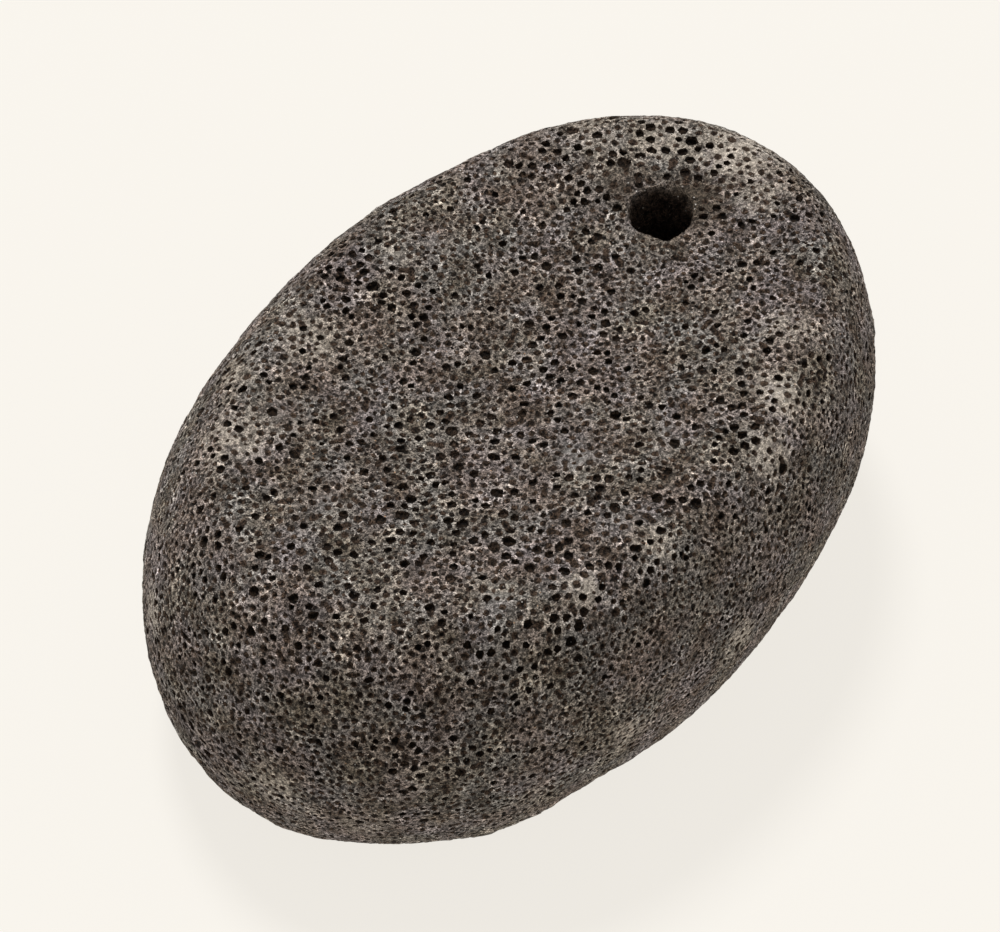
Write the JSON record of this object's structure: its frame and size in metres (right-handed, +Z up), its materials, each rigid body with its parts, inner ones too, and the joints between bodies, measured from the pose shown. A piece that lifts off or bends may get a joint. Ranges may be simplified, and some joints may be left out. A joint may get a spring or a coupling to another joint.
{
  "type": "pumice stone",
  "caption": "Oval porous lava stone for rubbing skin, with a flat sole, bulging walls, a dished top and a drilled hole for a hanging cord.",
  "frame": {"origin": "below the middle of the stone's bounding box, on the plane of its flat sole", "axes": "+X along the length, towards the drilled end; +Y across the width; +Z up through the thickness, from the sole to the dished top"},
  "size_m": [0.1046, 0.0734, 0.0418],
  "materials": {
    "lava": "rough, dry and full of open pores; dark grey-brown with cream worn patches"
  },
  "bodies": {
    "root": {"stone": "lava"}
  },
  "joints": []
}
